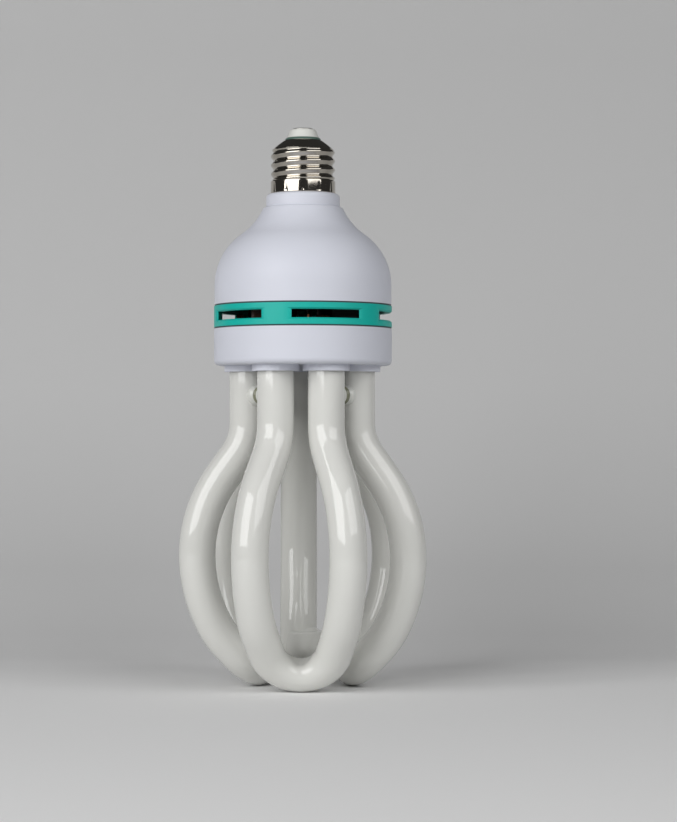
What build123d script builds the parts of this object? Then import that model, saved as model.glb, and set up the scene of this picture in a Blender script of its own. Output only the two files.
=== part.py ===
from build123d import *
import os
from math import cos, hypot, pi, radians, sin

# Compact fluorescent lamp with an E27 screw cap, a ballast housing with a vent ring,
# and four bent glass tubes: three petals and a U whose inner leg runs down the middle.
# Frame: origin on the lamp's axis where the screw shell seats on the housing collar,
# +Z up to the centre contact, front petal towards -Y. Millimetres and degrees.

# Screw cap
THREAD_CREST_R = 13.1
THREAD_DEPTH = 1.0
THREAD_PITCH = 3.629
THREAD_TURNS = 3.45
THREAD_START = -80.0
SHELL_SHEET = 0.35
SKIRT_R = 13.2
SKIRT_H = 5.4
SHELL_DOME_H = 3.989
SHELL_MOUTH_R = 7.6
SHELL_DOME_OUT = 0.54
SHELL_DOME_UP = 0.52
PUNCH_MARKS = 12
PUNCH_R = 0.9
PUNCH_DEPTH = 0.18
PUNCH_Z = 0.95

# Insulator and contact at the tip
INSULATOR_FOOT_R = 6.6
INSULATOR_TIP_R = 5.3
INSULATOR_H = 4.4
INSULATOR_FLANGE_T = 1.2
INSULATOR_EDGE = 0.8
CONTACT_R = 4.2
CONTACT_T = 0.9
CONTACT_SINK = 0.5
CONTACT_EDGE = 0.35
RIVET_R = 1.3
RIVET_L = 6.5

# Upper housing: collar, bell and straight skirt
HOUSING_WALL = 1.8
COLLAR_R = 15.0
COLLAR_H = 5.2
COLLAR_EDGE = 1.6
SHOULDER_R = 16.3
SHOULDER_H = 0.7
BELL_LEAN = 55.0
BELL_NECK_LEAN = 25.0
BELL_ROUND_R = 25.3
BELL_SKIRT_H = 8.2
RIM_EDGE = 0.3
NECK_H = 13.0
NECK_WALL = 1.8

# Vent ring
RING_H = 9.2
RING_PROUD = 0.2
RING_WALL = 3.0
RING_LIP_H = 3.0
RING_EDGE = 0.35
RING_SLOTS = 6
SLOT_H = 3.4
SLOT_SPAN = 42.0
SLOT_PHASE = 14.0
SLOT_BEVEL = 0.6

# Lower housing
CUP_H = 15.2
CUP_FLOOR = 2.0
CUP_EDGE = 2.2
LEDGE_W = 4.0
SLEEVE_WALL = 1.8
SLEEVE_DROP = 2.6
SLEEVE_RISE = 3.0
RIB_T = 1.6
RIB_DEPTH = 3.4

# Glass tubes
TUBE_R = 7.4
LEG_CIRCLE_R = 22.7
LEGS_ROUND = 7
BURNER_TURN = -2.6
LEG_TURNS = (1.9, 0.0, 0.0, 7.4, 0.0, 0.0, 0.4)
CENTRE_LEG_X = -1.8
CENTRE_LEG_Y = 5.0
CENTRE_LEG_LEAN = 24.0
CENTRE_LEAN_RUN = 10.0
CENTRE_BEND_R = 45.0
NUB_SHIFT = 2.3
NUB_REACH = 11.0
NUB_RISE = 14.658
NUB_R = 7.7
NUB_H = 3.4
NUB_EDGE = 0.9
LEG_INSERT = 10.2
LEG_STRAIGHT = 20.6
NECK_BEND_R = 23.0
LEG_LEAN = 36.0
LEAN_RUN = 10.0
RIGHT_LEAN_RUN = 11.4
BULGE_UPPER_R = 54.0
BULGE_LOWER_R = 60.0
FOOT_BEND_R = 40.0
FOOT_LEAN_START = 27.0
FOOT_LEAN_END = 44.0
FOOT_RUN = 4.4
FRONT_BULGE_LOWER_R = 66.0
FRONT_FOOT_BEND_R = 34.0
FRONT_LEAN_START = 22.0
FRONT_LEAN_END = 36.0
TUBE_END_ROUND = 3.5
BRIDGE_R = 3.4
BRIDGE_BULGE = 0.7
BRIDGE_DROP = 9.6
CEMENT_H = 2.2
CEMENT_W = 1.0

# Clearances
FIT_GAP = 0.15
LEG_GAP = 0.3

# Circuit board and its parts
BOARD_T = 1.6
BOARD_EDGE_GAP = 0.7
LEAD_R = 0.4
LEAD_TAIL = 1.4
WIRE_R = 0.6
CAN_AT = (12.5, 11.0)
CAN_R = 7.0
CAN_H = 24.0
CAN_EDGE = 1.0
CAN_LEAD_PITCH = 7.5
CHOKE_AT = (-12.5, 10.5)
CHOKE_W = 20.0
CHOKE_D = 6.0
CHOKE_H = 17.0
CHOKE_LIMB = 5.5
CHOKE_YOKE = 3.0
BOBBIN_WALL = 1.0
BOBBIN_FOOT = 2.5
WINDING_BUILD = 3.0
FILM_AT = [(-14.0, -5.5), (-14.0, -14.0)]
FILM_SIZE = (13.0, 5.0, 10.0)
FILM_EDGE = 1.0
FILM_LEAD_PITCH = 10.0
TOROID_AT = (4.0, -20.5)
TOROID_R = 6.2
TOROID_HOLE_R = 3.4
TOROID_H = 4.6
TOROID_TURNS = 7
TOROID_WIRE = 0.7
TRANSISTOR_AT = [(17.0, -6.5), (17.0, -14.5)]
TRANSISTOR_SIZE = (10.0, 4.4, 9.2)
TRANSISTOR_TAB = (10.0, 1.2, 6.0)
TRANSISTOR_STAND = 3.0
TRANSISTOR_LEAD_PITCH = 2.54
DRUM_AT = (25.0, 3.5)
DRUM_R = 4.0
DRUM_H = 9.0
DRUM_CORE_R = 2.0
DRUM_FLANGE = 1.4
DRUM_LEAD_PITCH = 4.0
FUSE_AT = (22.5, 14.0)
FUSE_R = 1.8
FUSE_H = 9.0
FUSE_LEAD_PITCH = 4.0
FUSE_LEAD_BEND = 1.3
DISC_AT = (-25.5, -1.0)
DISC_R = 3.6
DISC_T = 2.8
DISC_LEAD_PITCH = 5.0
DIODE_AT = (3.0, -6.0)
DIODES = 4
DIODE_PITCH = 4.0
DIODE_R = 1.35
DIODE_L = 5.2
DIODE_LEAD_PITCH = 10.0
LIVE_AT = (1.8, 7.5)
NEUTRAL_AT = (1.8, 14.5)
LIVE_BEND = 7.0
TUBE_LEAD_PITCH = 5.0

# Worked-out sizes of the cap
ROOT_R = THREAD_CREST_R - THREAD_DEPTH
THREAD_MEAN_R = (THREAD_CREST_R + ROOT_R) / 2
THREAD_THROW = THREAD_DEPTH / 2
THREAD_H = THREAD_PITCH * THREAD_TURNS
THREAD_TOP_Z = SKIRT_H + THREAD_H
SHELL_TOP_Z = THREAD_TOP_Z + SHELL_DOME_H
NECK_R = ROOT_R - SHELL_SHEET - FIT_GAP
NECK_BORE_R = NECK_R - NECK_WALL

# Worked-out sizes of the housing, from the tube sleeves outwards and from the collar down
SLEEVE_BORE_R = TUBE_R + LEG_GAP
SLEEVE_R = SLEEVE_BORE_R + SLEEVE_WALL
CUP_R = LEG_CIRCLE_R + SLEEVE_R + LEDGE_W
HOUSING_R = CUP_R - RING_PROUD
HOUSING_BORE_R = HOUSING_R - HOUSING_WALL
BELL_REACH = HOUSING_R - SHOULDER_R
BELL_NECK_R = (BELL_REACH - BELL_ROUND_R * (1 - cos(radians(BELL_LEAN)))) / (
    cos(radians(BELL_NECK_LEAN)) - cos(radians(BELL_LEAN)))
BELL_TOP_Z = -COLLAR_H - SHOULDER_H
INFLECTION_Z = BELL_TOP_Z - BELL_NECK_R * (sin(radians(BELL_LEAN)) - sin(radians(BELL_NECK_LEAN)))
BELL_SKIRT_Z = INFLECTION_Z - BELL_ROUND_R * sin(radians(BELL_LEAN))
RING_TOP_Z = BELL_SKIRT_Z - BELL_SKIRT_H
RING_FOOT_Z = RING_TOP_Z - RING_H
RING_BORE_R = CUP_R - RING_WALL
LIP_R = HOUSING_BORE_R - FIT_GAP
CUP_BORE_R = HOUSING_BORE_R
CUP_FOOT_Z = RING_FOOT_Z - CUP_H
CUP_FLOOR_Z = CUP_FOOT_Z + CUP_FLOOR
SLEEVE_FOOT_Z = CUP_FOOT_Z - SLEEVE_DROP
SLEEVE_TOP_Z = CUP_FLOOR_Z + SLEEVE_RISE
BOARD_FOOT_Z = RING_FOOT_Z - RING_LIP_H - 2 * FIT_GAP
BOARD_TOP_Z = BOARD_FOOT_Z + BOARD_T
BOARD_R = RING_BORE_R - BOARD_EDGE_GAP

# Worked-out places of the legs
LEG_TOP_Z = SLEEVE_FOOT_Z + LEG_INSERT
NECK_BEND_Z = SLEEVE_FOOT_Z - LEG_STRAIGHT
LEG_STEP = 360 / LEGS_ROUND
LEG_ANGLES = [BURNER_TURN + (k + 0.5) * LEG_STEP + turn for k, turn in enumerate(LEG_TURNS)]
SIDE_FOOT = (BULGE_LOWER_R, FOOT_LEAN_START, FOOT_BEND_R, FOOT_LEAN_END)
FRONT_FOOT = (FRONT_BULGE_LOWER_R, FRONT_LEAN_START, FRONT_FOOT_BEND_R, FRONT_LEAN_END)


def polar(radius, angle):
    """Point in plan at an angle from the front (-Y), positive towards +X."""
    return Vector(radius * sin(radians(angle)), -radius * cos(radians(angle)))


def lean(angle):
    """Unit step down a leg that leans outwards by the angle, as (outward, up)."""
    return sin(radians(angle)), -cos(radians(angle))


def wheel(radius, height, place=(0, 0, 0)):
    """Upright cylinder standing on a place."""
    return Pos(*place) * Cylinder(radius, height, align=(Align.CENTER, Align.CENTER, Align.MIN))


def brick(size, place):
    """Box standing on a place."""
    return Pos(*place) * Box(*size, align=(Align.CENTER, Align.CENTER, Align.MIN))


def turned(*edges):
    """Solid of revolution about Z from an outline drawn in (radius, z)."""
    return revolve(Plane.XZ * make_face(Curve() + list(edges)), Axis.Z)


def outline(*points):
    """Straight-sided solid of revolution through (radius, z) points."""
    return revolve(Plane.XZ * make_face(Polyline(*points, close=True)), Axis.Z)


class Leg:
    """Centre line of one leg, from its sealed top down to where the foot bend ends.

    It lies in an upright plane: origin is a point in plan, heading the outward
    direction, start the distance from the origin to the straight part, and foot the
    lower bulge's radius and end lean, then the foot bend's radius and end lean.
    """

    def __init__(self, origin, heading, start, lean_run=LEAN_RUN, foot=SIDE_FOOT):
        bulge_r, lean_start, bend_r, self.end_lean = foot
        self.origin = origin
        self.heading = heading
        self.reach = start
        self.z = LEG_TOP_Z
        self.edges = []
        self.run(LEG_TOP_Z - NECK_BEND_Z, 0)
        self.bend(NECK_BEND_R, 0, LEG_LEAN)
        self.run(lean_run, LEG_LEAN)
        self.bend(BULGE_UPPER_R, LEG_LEAN, 0)
        self.bend(bulge_r, 0, -lean_start)
        self.bend(bend_r, -lean_start, -self.end_lean)

    def point(self, reach=None, z=None):
        reach = self.reach if reach is None else reach
        z = self.z if z is None else z
        return Vector(self.origin.X + reach * self.heading.X, self.origin.Y + reach * self.heading.Y, z)

    def run(self, length, angle):
        start = self.point()
        out, up = lean(angle)
        self.reach += length * out
        self.z += length * up
        self.edges.append(Line(start, self.point()))

    def bend(self, radius, first, last):
        turn = 1 if last > first else -1
        start = self.point()
        hub_reach = self.reach + turn * radius * cos(radians(first))
        hub_z = self.z + turn * radius * sin(radians(first))

        def at(angle):
            return (hub_reach - turn * radius * cos(radians(angle)),
                    hub_z - turn * radius * sin(radians(angle)))

        middle = self.point(*at((first + last) / 2))
        self.reach, self.z = at(last)
        self.edges.append(ThreePointArc(start, middle, self.point()))


def petal_leg(angle, lean_run=LEAN_RUN, foot=SIDE_FOOT):
    return Leg(Vector(0, 0), polar(1, angle), LEG_CIRCLE_R, lean_run, foot)


def foot_shares(end_lean, half):
    """How far the middle of a petal's bottom bend lies below and inside its leg ends.

    Both are shares of the legs' reach, and half is half the angle between the legs. The
    bend is an arc in the plane of the two leaning leg ends.
    """
    toe_in = sin(radians(end_lean)) * sin(radians(half))
    size = sin(radians(half)) * (1 - toe_in) / (1 - toe_in ** 2)
    return size * cos(radians(end_lean)), size * sin(radians(end_lean)) * cos(radians(half))


def foot_level():
    """Lowest height of the centre lines, set by an evenly spaced side petal."""
    leg = petal_leg(0)
    leg.run(FOOT_RUN, -leg.end_lean)
    down, _ = foot_shares(leg.end_lean, LEG_STEP / 2)
    return leg.z - down * leg.reach


FOOT_Z = foot_level()


def tube_along(edges):
    """Round glass along a path, with its two sealed ends rounded."""
    path = Curve() + edges
    start = edges[0] @ 0
    heading = edges[0] % 0
    glass = sweep(Plane(start, z_dir=heading) * Circle(TUBE_R), path=path)
    rims = glass.edges().filter_by(GeomType.CIRCLE).filter_by_position(Axis.Z, LEG_TOP_Z, LEG_TOP_Z)
    return fillet(rims, TUBE_END_ROUND)


def petal(first, second, lean_run=LEAN_RUN, foot=SIDE_FOOT):
    """One petal: two legs, run down to the level of all feet, and the bend that joins them."""
    half = (second - first) / 2
    legs = [petal_leg(angle, lean_run, foot) for angle in (first, second)]
    down, inward = foot_shares(legs[0].end_lean, half)
    out, up = lean(-legs[0].end_lean)
    for leg in legs:
        leg.run((leg.z - down * leg.reach - FOOT_Z) / (down * out - up), -leg.end_lean)
    middle = polar(legs[0].reach * (cos(radians(half)) - inward), (first + second) / 2)
    bend = ThreePointArc(legs[0].point(), Vector(middle.X, middle.Y, FOOT_Z), legs[1].point())
    return tube_along(legs[0].edges + [bend] + legs[1].edges)


def back_leg_places():
    """Plan points of the back U: its inner leg near the axis and its outer leg on the circle."""
    return Vector(CENTRE_LEG_X, CENTRE_LEG_Y), polar(LEG_CIRCLE_R, LEG_ANGLES[LEGS_ROUND // 2])


def cold_chamber():
    """Round-bottomed nub at the inner leg's foot, where the lamp's mercury gathers."""
    inner = back_leg_places()[0]
    place = Vector(inner.X + NUB_SHIFT, inner.Y - NUB_REACH, FOOT_Z + NUB_RISE - NUB_H)
    nub = wheel(NUB_R, NUB_H, (place.X, place.Y, place.Z))
    nub = fillet(nub.edges().filter_by(GeomType.CIRCLE).sort_by(Axis.Z)[-1], NUB_EDGE)
    return nub + Pos(place.X, place.Y, place.Z) * Sphere(NUB_R)


def back_u():
    """The back U: its outer leg bulges like the petals, its inner leg leans forward at the foot."""
    inner, outer = back_leg_places()
    across = outer - inner
    leg = Leg(inner, across.normalized(), across.length)
    tilt = radians(CENTRE_LEG_LEAN)
    side, level = sin(radians(leg.end_lean)), cos(radians(leg.end_lean))
    # The run and the bend that follows it reach as low as the petals and meet the inner leg
    fall = leg.z - FOOT_Z
    inward = leg.reach + CENTRE_BEND_R * (1 - cos(tilt)) + CENTRE_LEAN_RUN * sin(tilt)
    sweep_in = level + cos(tilt)
    share = level * sweep_in - side * (1 - side)
    leg.run((fall * sweep_in - inward * (1 - side)) / share, -leg.end_lean)
    leg.bend((level * inward - side * fall) / share, -leg.end_lean, -180 - CENTRE_LEG_LEAN)
    leg.run(CENTRE_LEAN_RUN, -180 - CENTRE_LEG_LEAN)
    leg.bend(CENTRE_BEND_R, -180 - CENTRE_LEG_LEAN, -180)
    leg.run(LEG_TOP_Z - leg.z, 180)
    return tube_along(leg.edges) + cold_chamber()


def leg_places():
    """Plan points of all eight legs."""
    return [polar(LEG_CIRCLE_R, angle) for angle in LEG_ANGLES] + [back_leg_places()[0]]


def bridge(first, second):
    """Short bulged glass bridge between two straight legs, its ends hollowed to fit them."""
    level = SLEEVE_FOOT_Z - BRIDGE_DROP
    start = polar(LEG_CIRCLE_R, first)
    end = polar(LEG_CIRCLE_R, second)
    span = (end - start).length
    side = ThreePointArc((BRIDGE_R, 0), (BRIDGE_R + BRIDGE_BULGE, span / 2), (BRIDGE_R, span))
    barrel = turned(side, Polyline((BRIDGE_R, span), (0, span), (0, 0), (BRIDGE_R, 0)))
    plane = Plane(Vector(start.X, start.Y, level), x_dir=(0, 0, 1), z_dir=end - start)
    barrel = plane * barrel
    for place in (start, end):
        barrel -= wheel(TUBE_R, 4 * BRIDGE_R, (place.X, place.Y, level - 2 * BRIDGE_R))
    return barrel.solids().sort_by(lambda piece: piece.volume)[-1]


def thread_swing(z):
    """Angle from +X of the side on which the thread stands out at a height."""
    return THREAD_START + 360 * (z - SKIRT_H) / THREAD_PITCH


def threaded(radius, low, high):
    """Round body whose centre circles the axis as it climbs: a rolled right-hand thread."""
    rise = Helix(THREAD_PITCH, high - low, THREAD_THROW, center=(0, 0, low))
    section = Plane(rise @ 0, x_dir=(1, 0, 0), z_dir=(0, 0, 1)) * Circle(radius)
    return Rot(0, 0, thread_swing(low)) * sweep(section, path=rise, normal=(0, 0, 1))


def cap_body(inset):
    """Skirt, thread and dome of the shell, drawn in by an even inset."""
    base_r = THREAD_MEAN_R - inset
    low = THREAD_TOP_Z - THREAD_PITCH / 4
    top = SHELL_TOP_Z - inset
    skirt = wheel(SKIRT_R - inset, SKIRT_H - inset)
    thread = threaded(base_r, SKIRT_H - inset, THREAD_TOP_Z)
    middle = (SHELL_MOUTH_R + SHELL_DOME_OUT * (base_r - SHELL_MOUTH_R),
              THREAD_TOP_Z + SHELL_DOME_UP * (top - THREAD_TOP_Z))
    dome = turned(
        ThreePointArc((base_r, THREAD_TOP_Z), middle, (SHELL_MOUTH_R, top)),
        Polyline((SHELL_MOUTH_R, top), (0, top), (0, low), (base_r, low), (base_r, THREAD_TOP_Z)))
    return skirt + thread + dome


def screw_shell():
    shell = cap_body(0) - cap_body(SHELL_SHEET)
    shell -= wheel(SHELL_MOUTH_R, SHELL_TOP_Z)
    mark = Pos(SKIRT_R + PUNCH_R - PUNCH_DEPTH, 0, PUNCH_Z) * Sphere(PUNCH_R)
    for k in range(PUNCH_MARKS):
        shell -= Rot(0, 0, k * 360 / PUNCH_MARKS) * mark
    return shell


def cap_insulator():
    """White insulator: flange under the dome, tapered tip above it, bore for the rivet."""
    seat = SHELL_TOP_Z - SHELL_SHEET
    top = SHELL_TOP_Z + INSULATOR_H
    throat = SHELL_MOUTH_R - FIT_GAP
    body = outline(
        (0, seat - INSULATOR_FLANGE_T), (throat, seat - INSULATOR_FLANGE_T), (throat, SHELL_TOP_Z),
        (INSULATOR_FOOT_R, SHELL_TOP_Z + INSULATOR_EDGE), (INSULATOR_TIP_R, top), (0, top))
    body = fillet(body.edges().filter_by(GeomType.CIRCLE).sort_by(Axis.Z)[-1], INSULATOR_EDGE)
    body -= wheel(CONTACT_R + FIT_GAP, CONTACT_SINK, (0, 0, top - CONTACT_SINK))
    return body - wheel(RIVET_R + FIT_GAP, top)


def centre_contact():
    head_foot = SHELL_TOP_Z + INSULATOR_H - CONTACT_SINK
    head = wheel(CONTACT_R, CONTACT_T, (0, 0, head_foot))
    head = fillet(head.edges().filter_by(GeomType.CIRCLE).sort_by(Axis.Z)[-1], CONTACT_EDGE)
    return head + wheel(RIVET_R, RIVET_L, (0, 0, head_foot - RIVET_L))


def bell_outline(inset):
    """Edges of the bell from the rim up to the shoulder, drawn in by the inset."""
    round_hub = (HOUSING_R - BELL_ROUND_R, BELL_SKIRT_Z)
    lean_cos, lean_sin = cos(radians(BELL_LEAN)), sin(radians(BELL_LEAN))
    reach = BELL_ROUND_R + BELL_NECK_R
    neck_hub = (round_hub[0] + reach * lean_cos, round_hub[1] + reach * lean_sin)

    def on_round(angle):
        return (round_hub[0] + (BELL_ROUND_R - inset) * cos(radians(angle)),
                round_hub[1] + (BELL_ROUND_R - inset) * sin(radians(angle)))

    def on_neck(angle):
        return (neck_hub[0] - (BELL_NECK_R + inset) * cos(radians(angle)),
                neck_hub[1] - (BELL_NECK_R + inset) * sin(radians(angle)))

    rim = (HOUSING_R - inset, RING_TOP_Z)
    edges = [
        Line(rim, on_round(0)),
        ThreePointArc(on_round(0), on_round(BELL_LEAN / 2), on_round(BELL_LEAN)),
        ThreePointArc(
            on_round(BELL_LEAN), on_neck((BELL_LEAN + BELL_NECK_LEAN) / 2), on_neck(BELL_NECK_LEAN))]
    return edges, rim, on_neck(BELL_NECK_LEAN)


def upper_housing():
    edges, rim, shoulder = bell_outline(0)
    top_r = COLLAR_R - COLLAR_EDGE
    corner = COLLAR_EDGE * (1 - cos(pi / 4))
    body = turned(
        *edges,
        Line(shoulder, (COLLAR_R, -COLLAR_H)),
        Line((COLLAR_R, -COLLAR_H), (COLLAR_R, -COLLAR_EDGE)),
        ThreePointArc((COLLAR_R, -COLLAR_EDGE), (COLLAR_R - corner, -corner), (top_r, 0)),
        Polyline((top_r, 0), (NECK_R, 0), (NECK_R, NECK_H), (0, NECK_H), (0, RING_TOP_Z), rim))
    body = chamfer(body.edges().filter_by(GeomType.CIRCLE).sort_by(Axis.Z)[0], RIM_EDGE)
    edges, rim, shoulder = bell_outline(HOUSING_WALL)
    hollow = turned(*edges, Polyline(shoulder, (0, shoulder[1]), (0, RING_TOP_Z), rim))
    return body - hollow - wheel(NECK_BORE_R, NECK_H - BELL_TOP_Z + HOUSING_WALL,
                                 (0, 0, BELL_TOP_Z - HOUSING_WALL))


def vent_ring():
    """Ring with long bevelled slots and a lip that fits inside each housing half."""
    ring = outline(
        (RING_BORE_R, RING_FOOT_Z - RING_LIP_H), (LIP_R, RING_FOOT_Z - RING_LIP_H), (LIP_R, RING_FOOT_Z),
        (CUP_R - RING_EDGE, RING_FOOT_Z), (CUP_R, RING_FOOT_Z + RING_EDGE),
        (CUP_R, RING_TOP_Z - RING_EDGE), (CUP_R - RING_EDGE, RING_TOP_Z), (LIP_R, RING_TOP_Z),
        (LIP_R, RING_TOP_Z + RING_LIP_H), (RING_BORE_R, RING_TOP_Z + RING_LIP_H))
    middle = (RING_TOP_Z + RING_FOOT_Z) / 2
    window = Plane.XZ * Pos(CUP_R, middle) * Rectangle(3 * RING_WALL, SLOT_H)
    cutter = revolve(window, Axis.Z, revolution_arc=SLOT_SPAN)
    for k in range(RING_SLOTS):
        start = -90 + SLOT_PHASE + k * 360 / RING_SLOTS - SLOT_SPAN / 2
        ring -= Rot(0, 0, start) * cutter
    on_face = [
        edge for edge in ring.edges()
        if abs(hypot(edge.center().X, edge.center().Y) - CUP_R) < RING_WALL / 2
        and abs(edge.center().Z - middle) < SLOT_H / 2 + FIT_GAP
        and all(abs(hypot(end.X, end.Y) - CUP_R) < FIT_GAP for end in (edge @ 0, edge @ 1))]
    return chamfer(on_face, SLOT_BEVEL)


def lower_housing():
    """Cup with a sleeve for each leg and ribs that carry the board."""
    cup = wheel(CUP_R, CUP_H, (0, 0, CUP_FOOT_Z))
    cup = fillet(cup.edges().filter_by(GeomType.CIRCLE).sort_by(Axis.Z)[0], CUP_EDGE)
    cup = chamfer(cup.edges().filter_by(GeomType.CIRCLE).sort_by(Axis.Z)[-1], RIM_EDGE)
    cup -= wheel(CUP_BORE_R, CUP_H, (0, 0, CUP_FLOOR_Z))
    for place in leg_places():
        cup += wheel(SLEEVE_R, SLEEVE_TOP_Z - SLEEVE_FOOT_Z, (place.X, place.Y, SLEEVE_FOOT_Z))
    for place in leg_places():
        cup -= wheel(SLEEVE_BORE_R, CUP_H, (place.X, place.Y, SLEEVE_FOOT_Z))
    rib_h = BOARD_FOOT_Z - CUP_FLOOR_Z
    rib = brick((RIB_T, RIB_DEPTH, rib_h), (0, RIB_DEPTH / 2 - CUP_BORE_R, CUP_FLOOR_Z))
    for k in range(LEGS_ROUND):
        cup += Rot(0, 0, BURNER_TURN + k * LEG_STEP) * rib
    return cup


def tube_cement():
    """A ring of cement round each leg on top of its sleeve."""
    ring = wheel(TUBE_R + CEMENT_W, CEMENT_H) - wheel(TUBE_R, CEMENT_H)
    return [Pos(place.X, place.Y, SLEEVE_TOP_Z) * ring for place in leg_places()]


def lead_pair(at, pitch, along_y=False):
    """Plan points of two leads set at a pitch about a place."""
    step = (0, pitch / 2) if along_y else (pitch / 2, 0)
    return [(at[0] - step[0], at[1] - step[1]), (at[0] + step[0], at[1] + step[1])]


def leads(places, top=BOARD_TOP_Z):
    """Straight leads from a height down through the board."""
    foot = BOARD_FOOT_Z - LEAD_TAIL
    return [wheel(LEAD_R, top - foot, (x, y, foot)) for x, y in places]


CAN_LEADS = lead_pair(CAN_AT, CAN_LEAD_PITCH)
FILM_LEADS = [lead_pair(at, FILM_LEAD_PITCH) for at in FILM_AT]
DRUM_LEADS = lead_pair(DRUM_AT, DRUM_LEAD_PITCH)
FUSE_LEADS = lead_pair(FUSE_AT, FUSE_LEAD_PITCH, along_y=True)
DISC_LEADS = lead_pair(DISC_AT, DISC_LEAD_PITCH, along_y=True)
DIODE_PLACES = [
    (DIODE_AT[0] + (k - (DIODES - 1) / 2) * DIODE_PITCH, DIODE_AT[1]) for k in range(DIODES)]
DIODE_LEADS = [lead_pair(at, DIODE_LEAD_PITCH, along_y=True) for at in DIODE_PLACES]
TRANSISTOR_LEADS = [
    [(at[0] + k * TRANSISTOR_LEAD_PITCH, at[1]) for k in (-1, 0, 1)] for at in TRANSISTOR_AT]


def circuit_board():
    """Round board with a hole for every lead."""
    board = wheel(BOARD_R, BOARD_T, (0, 0, BOARD_FOOT_Z))
    places = CAN_LEADS + DRUM_LEADS + FUSE_LEADS + DISC_LEADS
    for group in FILM_LEADS + DIODE_LEADS + TRANSISTOR_LEADS:
        places = places + group
    for x, y in places:
        board -= wheel(LEAD_R + FIT_GAP, BOARD_T, (x, y, BOARD_FOOT_Z))
    return board


def bulk_capacitor():
    can = wheel(CAN_R, CAN_H, (*CAN_AT, BOARD_TOP_Z))
    can = fillet(can.edges().filter_by(GeomType.CIRCLE).sort_by(Axis.Z)[-1], CAN_EDGE)
    return can + leads(CAN_LEADS)


def choke_places():
    """Foot height of the choke's core and the height of its window."""
    return BOARD_TOP_Z + BOBBIN_FOOT, CHOKE_H - 2 * CHOKE_YOKE


def choke_core():
    """Ferrite frame with a round middle limb standing upright."""
    foot, window = choke_places()
    frame = brick((CHOKE_W, CHOKE_D, CHOKE_H), (*CHOKE_AT, foot))
    frame -= brick((CHOKE_W - 2 * CHOKE_YOKE, CHOKE_D, window), (*CHOKE_AT, foot + CHOKE_YOKE))
    return frame + wheel(CHOKE_LIMB / 2, window, (*CHOKE_AT, foot + CHOKE_YOKE))


def spool(bore_r, barrel_r, flange_r, flange_t, foot, height):
    """Flanged spool of revolution, with a bore if one is given."""
    return outline(
        (bore_r, foot), (flange_r, foot), (flange_r, foot + flange_t), (barrel_r, foot + flange_t),
        (barrel_r, foot + height - flange_t), (flange_r, foot + height - flange_t),
        (flange_r, foot + height), (bore_r, foot + height))


BOBBIN_BORE_R = CHOKE_LIMB / 2 + FIT_GAP
BOBBIN_R = BOBBIN_BORE_R + BOBBIN_WALL
BOBBIN_FLANGE_R = CHOKE_W / 2 - CHOKE_YOKE - FIT_GAP


def choke_bobbin():
    """Spool on the limb, with two feet that stand on the board beside the core."""
    foot, window = choke_places()
    height = window - 2 * FIT_GAP
    low = foot + CHOKE_YOKE + FIT_GAP
    body = Pos(*CHOKE_AT) * spool(BOBBIN_BORE_R, BOBBIN_R, BOBBIN_FLANGE_R, BOBBIN_WALL, low, height)
    plinth = brick((CHOKE_W, CHOKE_D, BOBBIN_FOOT), (*CHOKE_AT, BOARD_TOP_Z))
    stride = CHOKE_D / 2 + FIT_GAP + BOBBIN_WALL / 2
    for side in (-1, 1):
        x, y = CHOKE_AT[0], CHOKE_AT[1] + side * stride
        plinth += brick((CHOKE_LIMB, BOBBIN_WALL, low + BOBBIN_WALL - BOARD_TOP_Z), (x, y, BOARD_TOP_Z))
        plinth += brick((CHOKE_LIMB, BOBBIN_WALL + 2 * FIT_GAP, BOBBIN_FOOT), (x, y, BOARD_TOP_Z))
    return body + plinth


def choke_winding():
    foot, window = choke_places()
    low = foot + CHOKE_YOKE + FIT_GAP + BOBBIN_WALL
    height = window - 2 * FIT_GAP - 2 * BOBBIN_WALL
    coil = wheel(BOBBIN_R + WINDING_BUILD, height) - wheel(BOBBIN_R, height)
    return Pos(*CHOKE_AT, low) * coil


def filter_choke_core():
    drum = spool(0, DRUM_CORE_R, DRUM_R, DRUM_FLANGE, BOARD_TOP_Z, DRUM_H)
    return Pos(*DRUM_AT) * drum + leads(DRUM_LEADS)


def filter_choke_winding():
    height = DRUM_H - 2 * DRUM_FLANGE
    coil_r = DRUM_R - LEG_GAP
    coil = wheel(coil_r, height) - wheel(DRUM_CORE_R, height)
    return Pos(*DRUM_AT, BOARD_TOP_Z + DRUM_FLANGE) * coil


def toroid_foot():
    return BOARD_TOP_Z + TOROID_WIRE


def drive_toroid_core():
    ring = wheel(TOROID_R, TOROID_H) - wheel(TOROID_HOLE_R, TOROID_H)
    return Pos(*TOROID_AT, toroid_foot()) * ring


def drive_toroid_windings():
    """Loops of wire round the ring's section, which also stand on the board."""
    middle_r = (TOROID_R + TOROID_HOLE_R) / 2
    width = TOROID_R - TOROID_HOLE_R
    loop = Rectangle(width + 2 * TOROID_WIRE, TOROID_H + 2 * TOROID_WIRE) - Rectangle(width, TOROID_H)
    loop = extrude(Plane.XZ * Pos(middle_r, TOROID_H / 2) * loop, TOROID_WIRE / 2, both=True)
    loop -= wheel(TOROID_R, TOROID_H) - wheel(TOROID_HOLE_R, TOROID_H)
    place = Pos(*TOROID_AT, toroid_foot())
    return [place * Rot(0, 0, k * 360 / TOROID_TURNS) * loop for k in range(TOROID_TURNS)]


def film_capacitors():
    pieces = []
    for at, holes in zip(FILM_AT, FILM_LEADS):
        block = brick(FILM_SIZE, (*at, BOARD_TOP_Z))
        block = fillet(block.edges().filter_by(Axis.Z), FILM_EDGE)
        pieces.append(block + leads(holes))
    return pieces


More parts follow.
